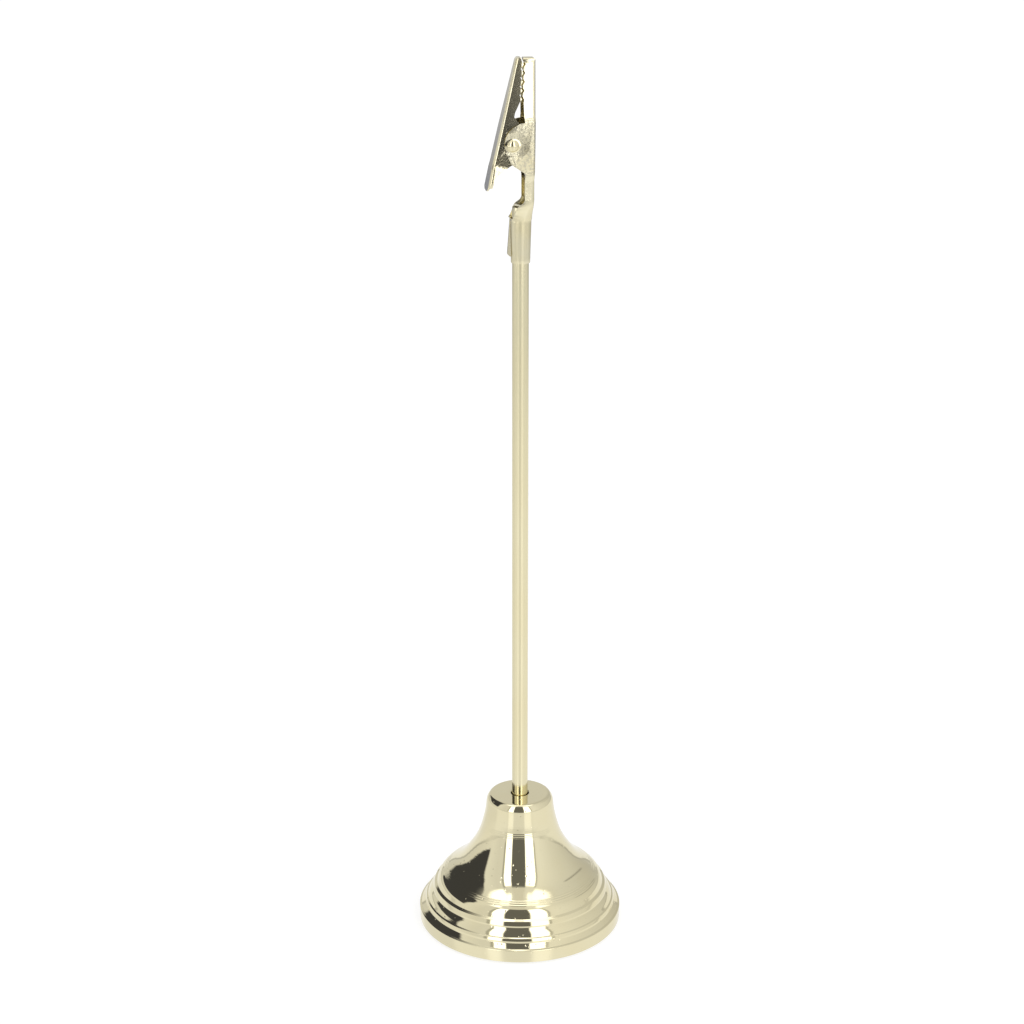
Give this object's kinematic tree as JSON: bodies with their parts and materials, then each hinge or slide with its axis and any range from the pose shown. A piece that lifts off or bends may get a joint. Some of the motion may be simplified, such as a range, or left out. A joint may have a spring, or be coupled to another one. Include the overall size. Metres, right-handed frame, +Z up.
{
  "type": "table number holder",
  "caption": "Gold-plated table number holder: weighted stepped bell base, slim upright rod and sprung alligator clip that grips a card.",
  "frame": {"origin": "centre of the base on the table", "axes": "+Z up along the rod; the clip's hinge pin lies along Y and its moving jaw is on the -X side"},
  "size_m": [0.052, 0.052, 0.2217],
  "materials": {
    "polished_gold_plate": "mirror-polished pale champagne gold plating with faint spin lines",
    "satin_gold_plate": "drawn satin pale gold plating with fine lengthwise lines",
    "clip_gold_plate": "bright pale gold plating on stamped sheet, slightly pebbled",
    "pin_plate": "bright pale gold plating",
    "spring_steel": "drawn spring wire",
    "zinc_steel": "bright zinc plating",
    "cast_weight": "raw sand-cast iron",
    "foam_pad": "matt black foam with a fine closed-cell grain"
  },
  "bodies": {
    "stand": {"base_shell": "polished_gold_plate", "ballast": "cast_weight", "base_pad": "foam_pad", "rod": "satin_gold_plate", "upper_washer": "zinc_steel", "upper_nut": "zinc_steel", "lower_washer": "zinc_steel", "lock_washer": "zinc_steel", "lower_nut": "zinc_steel", "fixed_jaw": "clip_gold_plate", "hinge_pin": "pin_plate", "torsion_spring": "spring_steel"},
    "moving_jaw_body": {"moving_jaw": "clip_gold_plate"}
  },
  "joints": [
    {"name": "jaw_hinge", "type": "hinge", "parent": "stand", "child": "moving_jaw_body", "pos_m": [-0.0023, 0, 0.202], "axis": [0, -1, 0], "range_deg": [0, 34], "stiffness_Nm_per_rad": 0.15, "springref_deg": -37.24, "deforming": ["torsion_spring"]}
  ]
}
